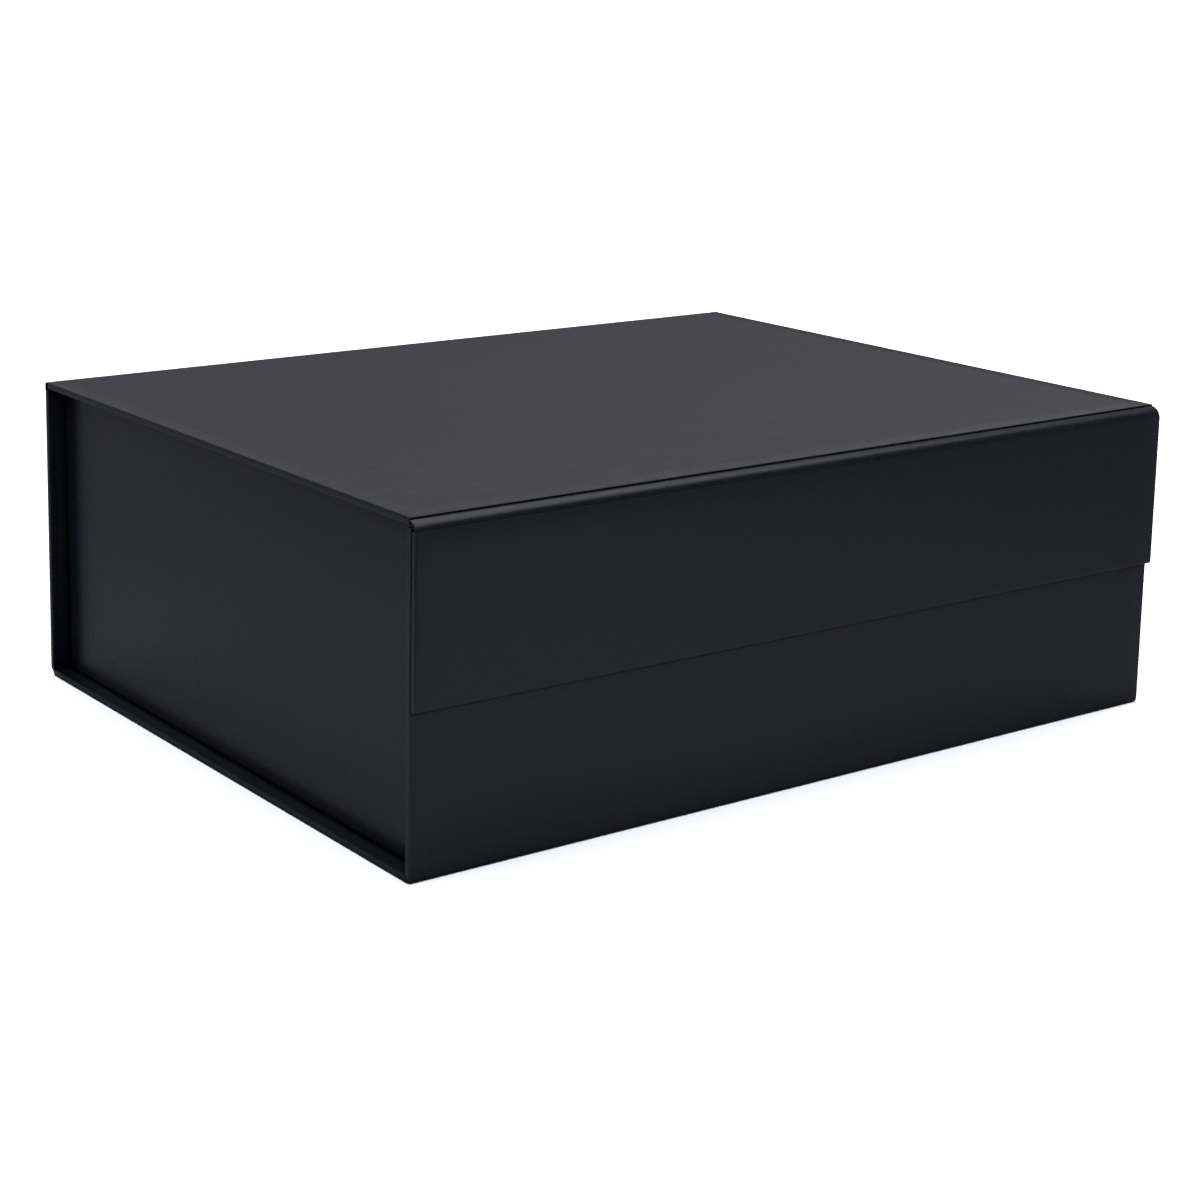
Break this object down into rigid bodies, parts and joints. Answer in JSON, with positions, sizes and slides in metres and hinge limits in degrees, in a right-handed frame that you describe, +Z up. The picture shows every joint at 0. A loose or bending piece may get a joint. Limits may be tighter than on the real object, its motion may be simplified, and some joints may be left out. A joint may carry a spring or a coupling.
{
  "type": "magnetic closure box",
  "caption": "Flat-folding rigid presentation box in black wrapped board, with a hinged lid, a magnetic front flap and side walls that fold inward on paper hinges.",
  "frame": {"origin": "centre of the base's underside, at half the width and half the overall depth", "axes": "+X along the width to the box's right end, +Y from the front flap to the spine, +Z up; the flap faces -Y"},
  "size_m": [0.33, 0.255, 0.115],
  "materials": {
    "wrap_paper": "matte",
    "lining_paper": "matte",
    "grey_board": "matte",
    "adhesive_tape": "satin",
    "magnet": "satin"
  },
  "bodies": {
    "tray": {"base_board": "grey_board", "spine_board": "grey_board", "front_wall_board": "grey_board", "base_wrap": "wrap_paper", "spine_wrap": "wrap_paper", "front_wall_wrap": "wrap_paper", "rear_fold": "wrap_paper", "front_fold": "wrap_paper", "lid_hinge_paper": "wrap_paper", "lid_hinge_lining": "lining_paper", "base_lining": "lining_paper", "spine_lining": "lining_paper", "front_wall_lining": "lining_paper", "left_wall_hinge": "lining_paper", "right_wall_hinge": "lining_paper", "front_wall_magnets": "magnet"},
    "lid": {"lid_board": "grey_board", "lid_wrap": "wrap_paper", "lid_lining": "lining_paper", "flap_fold": "wrap_paper", "flap_fold_lining": "lining_paper"},
    "flap": {"flap_board": "grey_board", "flap_wrap": "wrap_paper", "flap_lining": "lining_paper", "flap_magnets": "magnet"},
    "left_wall": {"left_wall_board": "grey_board", "left_wall_wrap": "wrap_paper", "left_wall_lining": "lining_paper", "left_front_tab_fold": "wrap_paper", "left_rear_tab_fold": "wrap_paper"},
    "right_wall": {"right_wall_board": "grey_board", "right_wall_wrap": "wrap_paper", "right_wall_lining": "lining_paper", "right_front_tab_fold": "wrap_paper", "right_rear_tab_fold": "wrap_paper"},
    "left_front_tab": {"left_front_tab": "wrap_paper", "left_front_tape": "adhesive_tape"},
    "left_rear_tab": {"left_rear_tab": "wrap_paper", "left_rear_tape": "adhesive_tape"},
    "right_front_tab": {"right_front_tab": "wrap_paper", "right_front_tape": "adhesive_tape"},
    "right_rear_tab": {"right_rear_tab": "wrap_paper", "right_rear_tape": "adhesive_tape"}
  },
  "joints": [
    {"name": "lid_hinge", "type": "hinge", "parent": "tray", "child": "lid", "pos_m": [0, 0.1263, 0.1138], "axis": [-1, 0, 0], "range_deg": [0, 180], "deforming": ["lid_hinge_paper", "lid_hinge_lining"]},
    {"name": "flap_hinge", "type": "hinge", "parent": "lid", "child": "flap", "pos_m": [0, -0.12627, 0.11377], "axis": [-1, 0, 0], "range_deg": [0, 90], "deforming": ["flap_fold", "flap_fold_lining"]},
    {"name": "left_wall_fold", "type": "hinge", "parent": "tray", "child": "left_wall", "pos_m": [-0.1561, 0, 0.0036], "axis": [0, 1, 0], "range_deg": [0, 90], "deforming": ["left_wall_hinge"]},
    {"name": "right_wall_fold", "type": "hinge", "parent": "tray", "child": "right_wall", "pos_m": [0.1561, 0, 0.0036], "axis": [0, -1, 0], "range_deg": [0, 90], "deforming": ["right_wall_hinge"]},
    {"name": "left_front_tab_fold_joint", "type": "hinge", "parent": "left_wall", "child": "left_front_tab", "pos_m": [-0.1561, -0.1218, 0.0575], "axis": [0, 0, 1], "range_deg": [0, 90], "deforming": ["left_front_tab_fold"]},
    {"name": "left_rear_tab_fold_joint", "type": "hinge", "parent": "left_wall", "child": "left_rear_tab", "pos_m": [-0.1561, 0.1243, 0.0575], "axis": [0, 0, -1], "range_deg": [0, 90], "deforming": ["left_rear_tab_fold"]},
    {"name": "right_front_tab_fold_joint", "type": "hinge", "parent": "right_wall", "child": "right_front_tab", "pos_m": [0.1561, -0.1218, 0.0575], "axis": [0, 0, -1], "range_deg": [0, 90], "deforming": ["right_front_tab_fold"]},
    {"name": "right_rear_tab_fold_joint", "type": "hinge", "parent": "right_wall", "child": "right_rear_tab", "pos_m": [0.1561, 0.1243, 0.0575], "axis": [0, 0, 1], "range_deg": [0, 90], "deforming": ["right_rear_tab_fold"]}
  ],
  "couplings": [
    {"joint": "left_front_tab_fold_joint", "follows": "left_wall_fold", "ratio": 1},
    {"joint": "left_rear_tab_fold_joint", "follows": "left_wall_fold", "ratio": 1},
    {"joint": "right_front_tab_fold_joint", "follows": "right_wall_fold", "ratio": 1},
    {"joint": "right_rear_tab_fold_joint", "follows": "right_wall_fold", "ratio": 1}
  ]
}
